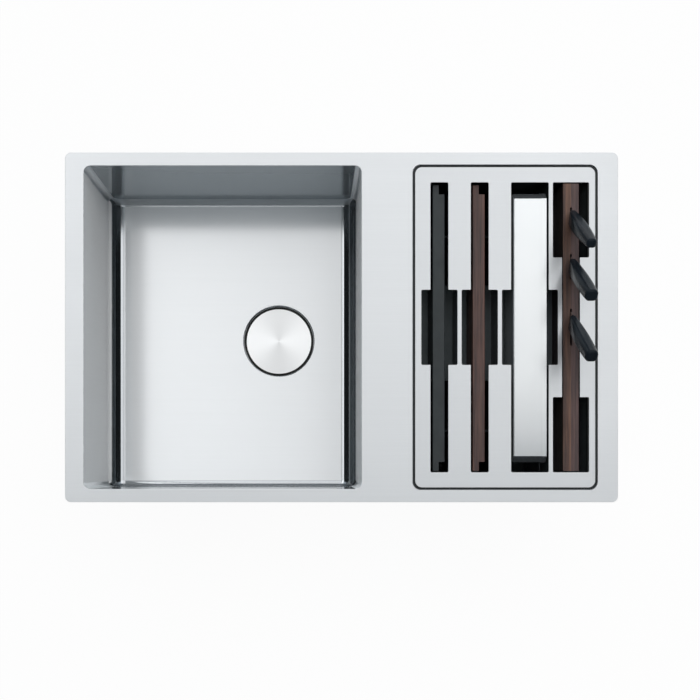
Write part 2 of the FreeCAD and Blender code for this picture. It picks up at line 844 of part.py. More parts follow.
def blade(y, reach, straight, spine, edge):
    """Blade with its tang. The edge is straight at the heel and rises to the tip in one arc."""
    start = handle_start
    rise = spine + edge
    run = reach - straight
    belly_radius = (rise * rise + run * run) / (2 * rise)
    half_turn = math.asin(run / belly_radius) / 2
    belly_y = belly_radius * (1 - math.cos(half_turn)) - edge
    belly_z = -straight - belly_radius * math.sin(half_turn)
    outline = Part.Wire([
        Part.makeLine(V(0, tang_height / 2, start), V(0, spine, start)),
        Part.makeLine(V(0, spine, start), V(0, spine, -reach)),
        Part.Arc(V(0, spine, -reach), V(0, belly_y, belly_z), V(0, -edge, -straight)).toShape(),
        Part.makeLine(V(0, -edge, -straight), V(0, -edge, 0)),
        Part.makeLine(V(0, -edge, 0), V(0, -tang_height / 2, start)),
        Part.makeLine(V(0, -tang_height / 2, start), V(0, tang_height / 2, start)),
    ])
    plate = Part.Face(outline).extrude(V(blade_thickness, 0, 0))
    plate.translate(V(-blade_thickness / 2, 0, 0))
    tang = slab(0, 0, blade_thickness, tang_height, start, start + tang_length)
    return stand_knife(plate.fuse(tang).removeSplitter(), y)


def handle(y, length, butt_share):
    """Grip of rounded square sections: narrow at the front, full at the belly, tapered to the butt."""
    start = handle_start
    end = start + length

    def section(height, thickness, depth):
        radius = handle_corner_share * thickness
        block = rounded_slab(0, 0, thickness, depth, radius, height, height + length)
        for face in block.Faces:
            if face.BoundBox.ZMax < height + 1e-4:
                return face.OuterWire

    grip = Part.makeLoft([
        section(start, handle_front_thickness, handle_front_height),
        section(start + handle_belly_place * length, handle_thickness, handle_height),
        section(end, butt_share * handle_butt_thickness, butt_share * handle_butt_height),
    ], True)
    grip = grip.makeFillet(handle_butt_round, level_edges(grip, end))
    grip = grip.makeFillet(handle_front_round, level_edges(grip, start))
    hollow = slab(
        0, 0, blade_thickness + 2 * tang_play, tang_height + 2 * tang_play,
        start, start + tang_length + tang_play,
    )
    return stand_knife(grip.cut(hollow), y)


def knife_pockets():
    pockets = []
    sizes = (
        (paring_y, paring_reach, paring_spine, paring_edge),
        (utility_y, utility_reach, utility_spine, utility_edge),
        (chef_y, chef_reach, chef_spine, chef_edge),
    )
    for y, reach, spine, edge in sizes:
        high = spine + pocket_play
        low = -edge - pocket_play
        pocket = slab(
            0, (high + low) / 2, blade_thickness + 2 * blade_play, high - low,
            -reach - pocket_end_play, handle_height + edge,
        )
        pockets.append(stand_knife(pocket, y))
    return Part.Compound(pockets)


def block_leaf(side):
    leaf = slab(
        block_x + side * leaf_thickness / 2, 0, leaf_thickness, accessory_length, rest_height, deck_top,
    )
    outer_x = block_x + side * leaf_thickness
    rounded = []
    for edge in leaf.Edges:
        box = edge.BoundBox
        if abs(box.XMin - outer_x) < 1e-4 and abs(box.XMax - outer_x) < 1e-4:
            rounded.append(edge)
    leaf = leaf.makeFillet(block_edge_round, rounded)
    leaf = leaf.cut(knife_pockets())
    return leaf.cut(dowels(dowel_play))


def dowels(play):
    pins = []
    length = 2 * (dowel_depth + play)
    for y in (-accessory_length / 2 + dowel_inset, -accessory_length / 4):
        for z in (rest_height + dowel_inset, deck_top - dowel_inset):
            place = V(block_x - length / 2, y, z)
            pins.append(Part.makeCylinder(dowel_diameter / 2 + play, length, place, V(1, 0, 0)))
    return Part.Compound(pins)


# Fixing clips: a stud on the wall, a bracket that grips the underside of the worktop and a nut
clip_top = -worktop_thickness
stud_height = clip_top - stud_drop


def clip_places():
    """Middle of each clip on its wall, the turn that faces it outwards and its reach to the deck's edge."""
    bowl_wall = bowl_width / 2 + sheet
    bowl_reach = deck_width / 2 - clip_edge_gap - bowl_wall
    left_wall = bowl_length / 2 + sheet
    left_reach = left_margin - sheet - clip_edge_gap
    right_wall = box_inner_length / 2 + sheet
    right_reach = right_margin + ledge_width - sheet - clip_edge_gap
    places = []
    for step in (-0.5, 0.5):
        along = step * clip_spacing
        places.append((bowl_x + along, bowl_wall, 90, bowl_reach))
        places.append((bowl_x + along, -bowl_wall, -90, bowl_reach))
        places.append((bowl_x - left_wall, along, 180, left_reach))
        places.append((box_x + right_wall, along, 0, right_reach))
    return places


def set_of_clips(make):
    pieces = []
    for x, y, turn, reach in clip_places():
        piece = make(reach)
        piece.Placement = FreeCAD.Placement(V(x, y, 0), FreeCAD.Rotation(up, turn))
        pieces.append(piece)
    return Part.Compound(pieces)


def clip_stud(reach):
    return Part.makeCylinder(stud_diameter / 2, stud_length, V(0, 0, stud_height), V(1, 0, 0))


def clip_bracket(reach):
    upright = Part.makeBox(
        clip_sheet, clip_width, clip_height, V(0, -clip_width / 2, clip_top - clip_height),
    )
    foot = Part.makeBox(reach, clip_width, clip_sheet, V(0, -clip_width / 2, clip_top - clip_sheet))
    hole = Part.makeCylinder(
        stud_diameter / 2 + screw_play, clip_sheet, V(0, 0, stud_height), V(1, 0, 0),
    )
    return upright.fuse(foot).cut(hole).removeSplitter()


def clip_nut(reach):
    points = []
    for number in range(7):
        angle = math.pi * number / 3
        points.append(V(clip_sheet, nut_diameter / 2 * math.cos(angle), nut_diameter / 2 * math.sin(angle)))
    nut = Part.Face(Part.makePolygon(points)).extrude(V(nut_height, 0, 0))
    nut.translate(V(0, 0, stud_height))
    hole = Part.makeCylinder(
        stud_diameter / 2 + screw_play, nut_height, V(clip_sheet, 0, stud_height), V(1, 0, 0),
    )
    return nut.cut(hole)


def bowl_sound_pads():
    top = bowl_floor - sheet
    recess_edge = waste_flange_diameter / 2 + recess_play + sheet + pad_drain_gap
    left = bowl_left + pad_margin
    right = drain_x - recess_edge
    width = bowl_width - 2 * pad_margin
    return slab((left + right) / 2, 0, right - left, width, top - pad_thickness, top)


def box_sound_pads():
    top = box_floor - sheet
    half_width = box_inner_width / 2 - pad_margin
    start = box_flange_diameter / 2 + pad_drain_gap
    length = box_inner_length - 2 * pad_margin
    pads = []
    for side in (-1, 1):
        y = side * (start + half_width) / 2
        pads.append(slab(box_x, y, length, half_width - start, top - pad_thickness, top))
    return Part.Compound(pads)


os.makedirs("parts", exist_ok=True)
save(deck_plate(), "deck_plate")
save(rim_seal(), "rim_seal")
save(main_bowl(), "main_bowl")
save(accessory_bowl(), "accessory_bowl")
save(bowl_sound_pads(), "bowl_sound_pad")
save(box_sound_pads(), "box_sound_pads")
save(set_of_clips(clip_stud), "clip_studs")
save(set_of_clips(clip_bracket), "clip_brackets")
save(set_of_clips(clip_nut), "clip_nuts")
save(waste_top_seal(), "waste_top_seal")
save(waste_flange(), "waste_flange")
save(waste_clamp_seal(), "waste_clamp_seal")
save(waste_body(), "waste_body")
save(waste_screw(), "waste_screw")
save(strainer_basket(), "strainer_basket")
save(basket_knob(), "basket_knob")
save(waste_cover(), "waste_cover")
save(cover_feet(), "cover_feet")
save(box_waste_grid(), "box_waste_grid")
save(box_waste_seal(), "box_waste_seal")
save(box_waste_body(), "box_waste_body")
save(box_waste_screw(), "box_waste_screw")
save(holder_tray(), "holder_tray")
save(panel_seal(), "panel_seal")
save(accessory_panel(), "accessory_panel")
save(chopping_board(black_board_x), "black_board")
save(chopping_board(walnut_board_x), "walnut_board")
save(colander(), "colander")
save(block_leaf(-1), "block_left_leaf")
save(block_leaf(1), "block_right_leaf")
save(dowels(0), "block_dowels")
save(blade(paring_y, paring_reach, paring_straight, paring_spine, paring_edge), "paring_blade")
save(handle(paring_y, paring_handle_length, paring_butt_share), "paring_handle")
save(blade(utility_y, utility_reach, utility_straight, utility_spine, utility_edge), "utility_blade")
save(handle(utility_y, utility_handle_length, 1), "utility_handle")
save(blade(chef_y, chef_reach, chef_straight, chef_spine, chef_edge), "chef_blade")
save(handle(chef_y, chef_handle_length, 1), "chef_handle")
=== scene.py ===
import json
import bpy
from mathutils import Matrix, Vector


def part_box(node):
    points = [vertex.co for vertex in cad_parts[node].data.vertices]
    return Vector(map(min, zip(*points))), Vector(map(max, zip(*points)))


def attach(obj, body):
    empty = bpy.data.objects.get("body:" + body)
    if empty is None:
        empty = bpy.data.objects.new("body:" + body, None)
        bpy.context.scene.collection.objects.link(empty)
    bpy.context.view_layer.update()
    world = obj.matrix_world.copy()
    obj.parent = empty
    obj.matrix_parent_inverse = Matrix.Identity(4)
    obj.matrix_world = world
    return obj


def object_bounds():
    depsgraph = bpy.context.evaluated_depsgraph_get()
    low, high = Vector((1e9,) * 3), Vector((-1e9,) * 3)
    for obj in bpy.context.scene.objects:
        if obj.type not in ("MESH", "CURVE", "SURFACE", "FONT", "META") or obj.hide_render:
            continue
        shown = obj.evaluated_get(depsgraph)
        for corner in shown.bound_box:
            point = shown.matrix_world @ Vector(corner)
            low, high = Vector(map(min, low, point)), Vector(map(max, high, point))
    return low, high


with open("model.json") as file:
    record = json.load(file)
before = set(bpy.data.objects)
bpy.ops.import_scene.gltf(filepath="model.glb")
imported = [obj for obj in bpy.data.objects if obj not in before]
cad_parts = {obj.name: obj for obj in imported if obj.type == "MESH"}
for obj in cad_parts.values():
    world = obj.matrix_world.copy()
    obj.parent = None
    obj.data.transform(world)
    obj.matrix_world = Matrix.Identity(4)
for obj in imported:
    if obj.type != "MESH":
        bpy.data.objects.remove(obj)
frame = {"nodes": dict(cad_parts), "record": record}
nodes = frame["nodes"]
cadLow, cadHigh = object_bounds()
print("frame loaded:", len(nodes), "nodes")

scene = bpy.context.scene
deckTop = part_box("deck_plate")[1].z


# Node helpers for shaders and geometry

def startTree(kind, name, inputs, outputs):
    tree = bpy.data.node_groups.new(name, kind + "NodeTree")
    for label, socketKind, value in inputs:
        socket = tree.interface.new_socket(label, in_out="INPUT", socket_type="NodeSocket" + socketKind)
        if value is not None:
            socket.default_value = value
    for label, socketKind in outputs:
        tree.interface.new_socket(label, in_out="OUTPUT", socket_type="NodeSocket" + socketKind)
    start, end = tree.nodes.new("NodeGroupInput"), tree.nodes.new("NodeGroupOutput")
    return tree, start.outputs, end.inputs


def feed(tree, socket, value):
    if isinstance(value, bpy.types.NodeSocket):
        tree.links.new(value, socket)
    else:
        socket.default_value = value


def growNode(tree, kind, inputs=None, **settings):
    node = tree.nodes.new(kind)
    for key, value in settings.items():
        setattr(node, key, value)
    for key, value in (inputs or {}).items():
        feed(tree, node.inputs[key], value)
    return node


def addNode(tree, kind, inputs=None, **settings):
    return growNode(tree, "ShaderNode" + kind, inputs, **settings)


def compute(tree, operation, first, second=0.0):
    return addNode(tree, "Math", {0: first, 1: second}, operation=operation).outputs[0]


def axes(tree, vector):
    return addNode(tree, "SeparateXYZ", {"Vector": vector}).outputs


def scaled(tree, vector, factors):
    return addNode(tree, "VectorMath", {0: vector, 1: factors}, operation="MULTIPLY").outputs[0]


def mapRange(tree, value, low, high, toLow=0.0, toHigh=1.0):
    ends = {"From Min": low, "From Max": high, "To Min": toLow, "To Max": toHigh}
    return addNode(tree, "MapRange", {"Value": value, **ends}).outputs["Result"]


def mixLevel(tree, mask, first, second):
    return mapRange(tree, mask, 0.0, 1.0, first, second)


def mixColor(tree, mask, first, second, blend="MIX"):
    # a Mix node keeps its colours in sockets 6 and 7
    node = addNode(tree, "Mix", {0: mask, 6: first, 7: second}, data_type="RGBA", blend_type=blend)
    return node.outputs[2]


def opaque(color):
    return (*color, 1)


# Shader groups that several finishes share

noiseSpan = (0.3, 0.7)  # where most values of a noise texture lie
brushedWide = 0.3  # share of the wide streaks among the fine lines
grainSettings = {"bandSpan": (0.36, 0.64), "poreStretch": (14, 3.5, 14), "poreSpan": (0.36, 0.46)}
# where each mask of the bowl starts and ends: the turn of a face, and for inside a length in metres
bowlMasks = {
    "flat": (0.985, 0.999), "leftWall": (0.79, 0.86), "rightWall": (-0.95, -0.995), "sideBend": (0.54, 0.62),
    "endBend": (0.1, 0.25), "frontBend": (0.05, 0.15), "corner": (0.2, 0.1), "inside": (0.004, -0.004),
}


def greyTone(tree, shade):
    return addNode(tree, "CombineColor", {"Red": shade, "Green": shade, "Blue": shade}).outputs["Color"]


def makeBrushedLines():
    tree, start, end = startTree(
        "Shader", "brushedLines",
        [("Vector", "Vector", (0, 0, 0)), ("Stretch", "Vector", (8, 900, 900)), ("Depth", "Float", 0.1)],
        [("Shade", "Color"), ("Height", "Float")],
    )
    vector = scaled(tree, start["Vector"], start["Stretch"])
    fine = addNode(tree, "TexNoise", {"Vector": vector, "Scale": 1.0, "Detail": 3.0, "Roughness": 0.6})
    wide = addNode(tree, "TexNoise", {"Vector": vector, "Scale": 0.3, "Detail": 2.0, "Roughness": 0.5})
    both = mixLevel(tree, brushedWide, fine.outputs["Fac"], wide.outputs["Fac"])
    darkest = compute(tree, "SUBTRACT", 1.0, start["Depth"])
    shade = mapRange(tree, both, *noiseSpan, darkest, 1.0)
    tree.links.new(greyTone(tree, shade), end["Shade"])
    tree.links.new(both, end["Height"])
    return tree


def makeTurnedLinesAndPaintedSheen():
    tree, start, end = startTree(
        "Shader", "turnedLinesAndPaintedSheen",
        [("Vector", "Vector", (0, 0, 0)), ("Rings", "Float", 1500.0), ("Depth", "Float", 0.1),
         ("Painted Sheen", "Float", 0.9)],
        [("Shade", "Color")],
    )
    place = axes(tree, start["Vector"])
    flat = addNode(tree, "CombineXYZ", {"X": place["X"], "Y": place["Y"]}).outputs[0]
    radius = addNode(tree, "VectorMath", {0: flat}, operation="LENGTH").outputs["Value"]
    along = compute(tree, "MULTIPLY", radius, start["Rings"])
    rings = addNode(tree, "TexNoise", {"W": along, "Scale": 1.0, "Detail": 2.0}, noise_dimensions="1D")
    darkest = compute(tree, "SUBTRACT", 1.0, start["Depth"])
    fine = mapRange(tree, rings.outputs["Fac"], *noiseSpan, darkest, 1.0)
    # painted sheen: two lighter lobes across the turned face stand in for its highlight
    outward = addNode(tree, "VectorMath", {0: flat}, operation="NORMALIZE").outputs[0]
    turn = axes(tree, outward)["X"]
    paintedSheen = mixLevel(tree, compute(tree, "MULTIPLY", turn, turn), start["Painted Sheen"], 1.0)
    shade = compute(tree, "MULTIPLY", fine, paintedSheen)
    tree.links.new(greyTone(tree, shade), end["Shade"])
    return tree


def makeSmudge():
    tree, start, end = startTree(
        "Shader", "smudge",
        [("Vector", "Vector", (0, 0, 0)), ("Size", "Float", 12.0), ("Low", "Float", 0.25),
         ("High", "Float", 0.35)],
        [("Value", "Float")],
    )
    cloud = addNode(tree, "TexNoise", {
        "Vector": start["Vector"], "Scale": start["Size"], "Detail": 4.0, "Roughness": 0.55,
    })
    value = mapRange(tree, cloud.outputs["Fac"], *noiseSpan, start["Low"], start["High"])
    tree.links.new(value, end["Value"])
    return tree


def makeWoodGrain():
    tree, start, end = startTree(
        "Shader", "woodGrain",
        [("Vector", "Vector", (0, 0, 0)), ("Stretch", "Vector", (60, 3, 60)),
         ("Light", "Color", (0.3, 0.2, 0.1, 1)), ("Dark", "Color", (0.1, 0.05, 0.03, 1)),
         ("Pores", "Float", 0.5)],
        [("Color", "Color"), ("Height", "Float")],
    )
    fibre = scaled(tree, start["Vector"], start["Stretch"])
    bend = addNode(tree, "TexNoise", {"Vector": fibre, "Scale": 0.35, "Detail": 2.0})
    moved = addNode(tree, "VectorMath", {0: fibre, 1: bend.outputs["Color"]}, operation="ADD")
    bands = addNode(tree, "TexNoise", {
        "Vector": moved.outputs[0], "Scale": 1.1, "Detail": 5.0, "Roughness": 0.62,
    })
    tone = mapRange(tree, bands.outputs["Fac"], *grainSettings["bandSpan"])
    wood = mixColor(tree, tone, start["Dark"], start["Light"])
    poreVector = scaled(tree, fibre, grainSettings["poreStretch"])
    pores = addNode(tree, "TexNoise", {"Vector": poreVector, "Scale": 1.0, "Detail": 1.0}).outputs["Fac"]
    holes = mapRange(tree, pores, *grainSettings["poreSpan"], start["Pores"], 0.0)
    tree.links.new(mixColor(tree, holes, wood, start["Dark"]), end["Color"])
    tree.links.new(pores, end["Height"])
    return tree


def makeBowlFaces():
    names = ("Flat", "Satin", "Wall", "Side Bend", "End Bend", "Front Bend", "Corner", "Inside")
    tree, start, end = startTree(
        "Shader", "bowlFaces",
        [("Normal", "Vector", (0, 0, 1)), ("Place", "Vector", (0, 0, 0))],
        [(name, "Float") for name in names],
    )
    normal = axes(tree, start["Normal"])
    size = axes(tree, addNode(tree, "VectorMath", {0: start["Normal"]}, operation="ABSOLUTE").outputs[0])
    broad = compute(tree, "MAXIMUM", size["X"], size["Z"])
    most = compute(tree, "MAXIMUM", broad, size["Y"])
    flat = mapRange(tree, most, *bowlMasks["flat"])
    left = mapRange(tree, normal["X"], *bowlMasks["leftWall"])
    right = mapRange(tree, normal["X"], *bowlMasks["rightWall"])
    endBend = mapRange(tree, size["Y"], *bowlMasks["endBend"])
    frontBend = mapRange(tree, normal["Y"], *bowlMasks["frontBend"])
    corner = mapRange(tree, size["Z"], *bowlMasks["corner"])
    # a face of the inside looks towards the middle of the bowl
    facing = addNode(tree, "VectorMath", {0: start["Place"], 1: start["Normal"]}, operation="DOT_PRODUCT")
    results = {
        "Flat": flat,
        "Satin": mapRange(tree, broad, *bowlMasks["flat"]),
        "Wall": compute(tree, "MAXIMUM", left, right),
        "Side Bend": mapRange(tree, size["X"], *bowlMasks["sideBend"]),
        "End Bend": mixLevel(tree, flat, endBend, 0.0),
        "Front Bend": mixLevel(tree, flat, frontBend, 0.0),
        "Corner": mixLevel(tree, flat, corner, 0.0),
        "Inside": mapRange(tree, facing.outputs["Value"], *bowlMasks["inside"]),
    }
    for name in names:
        tree.links.new(results[name], end[name])
    return tree


brushedLines = makeBrushedLines()
bowlFaces = makeBowlFaces()
turnedLinesAndPaintedSheen = makeTurnedLinesAndPaintedSheen()
smudge = makeSmudge()
woodGrain = makeWoodGrain()
print("shader groups built")


# Finishes

brushTurn = (0.95, 0.995)  # where the brushing goes from level to upright on a side wall


def emptyMaterial(name):
    material = bpy.data.materials.new(name)
    material.use_nodes = True
    tree = material.node_tree
    tree.nodes.clear()
    return material, tree, addNode(tree, "OutputMaterial").inputs["Surface"]


def startMaterial(name):
    material, tree, output = emptyMaterial(name)
    surface = addNode(tree, "BsdfPrincipled")
    tree.links.new(surface.outputs["BSDF"], output)
    return material, tree, surface.inputs


def setSurface(tree, surface, values):
    for key, value in values.items():
        feed(tree, surface[key], value)


def middle(name):
    low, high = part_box(name)
    return (low + high) / 2


def placed(tree, centre=(0, 0, 0)):
    coordinate = addNode(tree, "TexCoord").outputs["Object"]
    shift = [-value for value in centre]
    return addNode(tree, "Mapping", {"Vector": coordinate, "Location": shift}).outputs["Vector"]


def useGroup(tree, group, inputs):
    return addNode(tree, "Group", inputs, node_tree=group).outputs


def smudged(tree, vector, size, span):
    return useGroup(tree, smudge, {"Vector": vector, "Size": size, "Low": span[0], "High": span[1]})["Value"]


def setBump(tree, surface, height, distance):
    bump = addNode(tree, "Bump", {"Height": height, "Distance": distance, "Strength": 1.0})
    tree.links.new(bump.outputs["Normal"], surface["Normal"])
    return bump


def brushTangent(tree, normal):
    turn = axes(tree, normal)
    wall = mapRange(tree, compute(tree, "ABSOLUTE", turn["X"]), *brushTurn)
    square = compute(tree, "MULTIPLY", turn["Y"], turn["Y"])
    level = compute(tree, "POWER", compute(tree, "SUBTRACT", 1.0, square), 0.5)
    drop = compute(tree, "MULTIPLY", turn["Y"], -1.0)
    across = addNode(tree, "CombineXYZ", {"Y": level, "Z": drop}).outputs[0]
    upright = (0, 0, 1)
    # a Mix node keeps its vectors in sockets 4 and 5
    mix = addNode(tree, "Mix", {0: wall, 4: across, 5: upright}, data_type="VECTOR")
    return mix.outputs[1]


def crownedNormal(tree, normal, settings):
    # a thin sheet is a little crowned along its length
    place = axes(tree, placed(tree, settings["centre"]))
    lean = compute(tree, "MULTIPLY", place["Y"], settings["crown"])
    tilt = addNode(tree, "CombineXYZ", {"Y": lean}).outputs[0]
    bent = addNode(tree, "VectorMath", {0: normal, 1: tilt}, operation="ADD").outputs[0]
    return addNode(tree, "VectorMath", {0: bent}, operation="NORMALIZE").outputs[0]


def endMask(tree, normal, settings):
    slope = compute(tree, "ABSOLUTE", axes(tree, normal)["Y"])
    reach = compute(tree, "ABSOLUTE", axes(tree, placed(tree, settings["centre"]))["Y"])
    bevels = mapRange(tree, slope, *settings["bevelTurn"])
    tabs = mapRange(tree, reach, *settings["tabSpan"])
    return compute(tree, "MAXIMUM", bevels, tabs)


def brushing(tree, surface, settings):
    vector = placed(tree)
    lines = useGroup(tree, brushedLines, {
        "Vector": vector, "Stretch": settings["stretch"], "Depth": settings["depth"],
    })
    level = smudged(tree, vector, settings["smudgeSize"], settings["rough"])
    bump = setBump(tree, surface, lines["Height"], settings["bump"])
    normal = addNode(tree, "NewGeometry").outputs["Normal"]
    if "crown" in settings:
        tree.links.new(crownedNormal(tree, normal, settings), bump.inputs["Normal"])
    if "anisotropy" in settings:
        surface["Anisotropic"].default_value = settings["anisotropy"]
        tree.links.new(brushTangent(tree, normal), surface["Tangent"])
    return lines["Shade"], level, normal


def steelFinish(name, settings):
    material, tree, surface = startMaterial(name)
    shade, level, normal = brushing(tree, surface, settings)
    color = opaque(settings["color"])
    if "slopePaintedShadeColor" in settings:
        # painted shade: the bevelled ends and end tabs are darkened to stand for their dark reflections
        color = mixColor(tree, endMask(tree, normal, settings), color, opaque(settings["slopePaintedShadeColor"]))
    tint = mixColor(tree, 1.0, color, shade, "MULTIPLY")
    setSurface(tree, surface, {"Base Color": tint, "Roughness": level, "Metallic": settings["metal"]})
    return material


def bowlFinish(name, settings):
    material, tree, surface = startMaterial(name)
    shade, level, normal = brushing(tree, surface, settings)
    masks = useGroup(tree, bowlFaces, {"Normal": normal, "Place": placed(tree, settings["centre"])})
    paint = {key: opaque(settings[key]) for key in settings if key.endswith("Color")}
    # satin flats between polished bends; their colours are painted reflection and shade: the end walls and
    # bends are painted darker, the side bends near black and the side walls near white
    color = mixColor(tree, masks["Satin"], paint["endWallPaintedShadeColor"], paint["floorColor"])
    color = mixColor(tree, masks["Flat"], paint["bendsPaintedShadeColor"], color)
    # painted reflections on the side bends and side walls
    for mask, key in (("Side Bend", "sideBendPaintedReflectionColor"), ("Wall", "wallPaintedReflectionColor"), ("Corner", "cornerColor")):
        color = mixColor(tree, masks[mask], color, paint[key])
    color = mixColor(tree, masks["Inside"], paint["outerColor"], color)
    for mask, key in (
        ("Wall", "wallRough"), ("End Bend", "endRough"),
        ("Front Bend", "frontRough"), ("Corner", "cornerRough"),
    ):
        level = mixLevel(tree, masks[mask], level, settings[key])
    level = mixLevel(tree, masks["Inside"], settings["outerRough"], level)
    metal = mixLevel(tree, masks["Flat"], 1.0, settings["endMetal"])
    metal = mixLevel(tree, masks["Satin"], metal, settings["satinMetal"])
    metal = mixLevel(tree, masks["Wall"], metal, settings["wallMetal"])
    metal = mixLevel(tree, masks["Corner"], metal, 1.0)
    metal = mixLevel(tree, masks["Inside"], 1.0, metal)
    tint = mixColor(tree, 1.0, color, shade, "MULTIPLY")
    setSurface(tree, surface, {"Base Color": tint, "Roughness": level, "Metallic": metal})
    return material


def turnedFinish(name, settings):
    material, tree, surface = startMaterial(name)
    vector = placed(tree, settings["centre"])
    lines = useGroup(tree, turnedLinesAndPaintedSheen, {
        "Vector": vector, "Rings": settings["rings"], "Depth": settings["depth"], "Painted Sheen": settings["paintedSheen"],
    })
    tint = mixColor(tree, 1.0, opaque(settings["color"]), lines["Shade"], "MULTIPLY")
    level = smudged(tree, vector, settings["smudgeSize"], settings["rough"])
    setSurface(tree, surface, {"Base Color": tint, "Roughness": level, "Metallic": settings["metal"]})
    return material


def woodFinish(name, settings):
    material, tree, surface = startMaterial(name)
    vector = placed(tree, settings["shift"])
    grain = useGroup(tree, woodGrain, {
        "Vector": vector, "Stretch": settings["stretch"], "Light": opaque(settings["light"]),
        "Dark": opaque(settings["dark"]), "Pores": settings["pores"],
    })
    color = grain["Color"]
    if "sidePaintedShadeColor" in settings:
        # painted shade: the broad sides are darkened as if in shade in the narrow gaps beside the block
        normal = addNode(tree, "NewGeometry").outputs["Normal"]
        side = compute(tree, "ABSOLUTE", axes(tree, normal)["X"])
        broad = mapRange(tree, side, *settings["sideTurn"])
        color = mixColor(tree, broad, color, opaque(settings["sidePaintedShadeColor"]), "MULTIPLY")
    level = smudged(tree, vector, settings["smudgeSize"], settings["rough"])
    setSurface(tree, surface, {"Base Color": color, "Roughness": level})
    setBump(tree, surface, grain["Height"], settings["bump"])
    return material


def mouldedFinish(name, settings):
    material, tree, surface = startMaterial(name)
    vector = placed(tree)
    cloud = smudged(tree, vector, settings["cloudSize"], (0.0, 1.0))
    tint = mixColor(tree, cloud, opaque(settings["dark"]), opaque(settings["light"]))
    if "rimPaintedShadeColor" in settings:
        # painted shade: a black rim round the top of the tray darkens the seam round the panel
        rim = mapRange(tree, axes(tree, vector)["Z"], *settings["rimHeight"])
        tint = mixColor(tree, rim, tint, opaque(settings["rimPaintedShadeColor"]))
    level = smudged(tree, vector, settings["smudgeSize"], settings["rough"])
    setSurface(tree, surface, {
        "Base Color": tint, "Roughness": level, "Specular IOR Level": settings["specular"],
    })
    grain = addNode(tree, "TexNoise", {"Vector": vector, "Scale": settings["grainScale"], "Detail": 2.0})
    setBump(tree, surface, grain.outputs["Fac"], settings["bump"])
    return material


deckSettings = {
    "color": (0.71, 0.725, 0.74), "stretch": (7, 900, 900), "depth": 0.03, "metal": 0.6,
    "rough": (0.28, 0.31), "smudgeSize": 9.0, "anisotropy": 0.4, "bump": 0.000004,
}
panelSettings = dict(deckSettings, color=(0.66, 0.675, 0.69))
# the end, bend, side bend and wall colours of a bowl are painted shade and painted reflections, not the
# steel's own tone
bowlSettings = {
    "centre": middle("main_bowl"), "floorColor": (0.85, 0.865, 0.88), "satinMetal": 0.44,
    "wallPaintedReflectionColor": (1.0, 1.0, 1.0), "wallMetal": 0.1, "wallRough": 0.55,
    "endWallPaintedShadeColor": (0.46, 0.50, 0.525), "endMetal": 0.6, "endRough": 0.42, "frontRough": 0.15,
    "bendsPaintedShadeColor": (0.50, 0.52, 0.54), "sideBendPaintedReflectionColor": (0.12, 0.135, 0.145),
    "cornerColor": (0.9, 0.92, 0.93), "cornerRough": 0.3,
    "outerColor": (0.55, 0.565, 0.575), "outerRough": 0.34,
    "stretch": (7, 900, 30), "depth": 0.03, "rough": (0.095, 0.105), "smudgeSize": 8.0,
    "anisotropy": 1.0, "bump": 0.000002,
}
boxSettings = dict(
    bowlSettings, centre=middle("accessory_bowl"), stretch=(900, 30, 7),
    wallPaintedReflectionColor=(0.30, 0.31, 0.32), wallMetal=0.9, wallRough=0.34,
)
colanderLow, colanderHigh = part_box("colander")
colanderHalf = (colanderHigh.y - colanderLow.y) / 2
# the slope colour is painted shade on the colander's bevelled ends and end tabs
colanderSettings = {
    "color": (0.735, 0.75, 0.76), "slopePaintedShadeColor": (0.22, 0.235, 0.25), "centre": middle("colander"),
    "bevelTurn": (0.4, 0.6), "tabSpan": (colanderHalf - 0.0129, colanderHalf - 0.0125), "crown": 0.40,
    "stretch": (900, 8, 900), "depth": 0.03, "metal": 0.75,
    "rough": (0.23, 0.265), "smudgeSize": 14.0, "bump": 0.000005,
}
bladeSettings = {
    "color": (0.72, 0.725, 0.73), "stretch": (900, 900, 20), "depth": 0.06, "metal": 1.0,
    "rough": (0.19, 0.265), "smudgeSize": 20.0, "bump": 0.0000008,
}
wasteSettings = {
    "color": (0.70, 0.71, 0.72), "stretch": (300, 300, 60), "depth": 0.08, "metal": 1.0,
    "rough": (0.17, 0.265), "smudgeSize": 30.0, "bump": 0.000002,
}
zincSettings = {
    "color": (0.58, 0.60, 0.60), "stretch": (120, 120, 120), "depth": 0.22, "metal": 1.0,
    "rough": (0.35, 0.5), "smudgeSize": 80.0, "bump": 0.00002,
}
# the sheen value sets how dark the painted sheen leaves the turned face between its two lighter lobes
coverSettings = {
    "color": (0.97, 0.975, 0.98), "centre": middle("waste_cover"), "rings": 2600.0, "depth": 0.03,
    "paintedSheen": 0.80, "metal": 0.6, "rough": (0.28, 0.30), "smudgeSize": 20.0,
}
walnutSettings = {
    "light": (0.15, 0.078, 0.062), "dark": (0.042, 0.026, 0.025), "stretch": (150, 5, 60),
    "shift": (0, 0, 0), "pores": 0.6, "rough": (0.42, 0.55), "smudgeSize": 30.0, "bump": 0.00008,
}
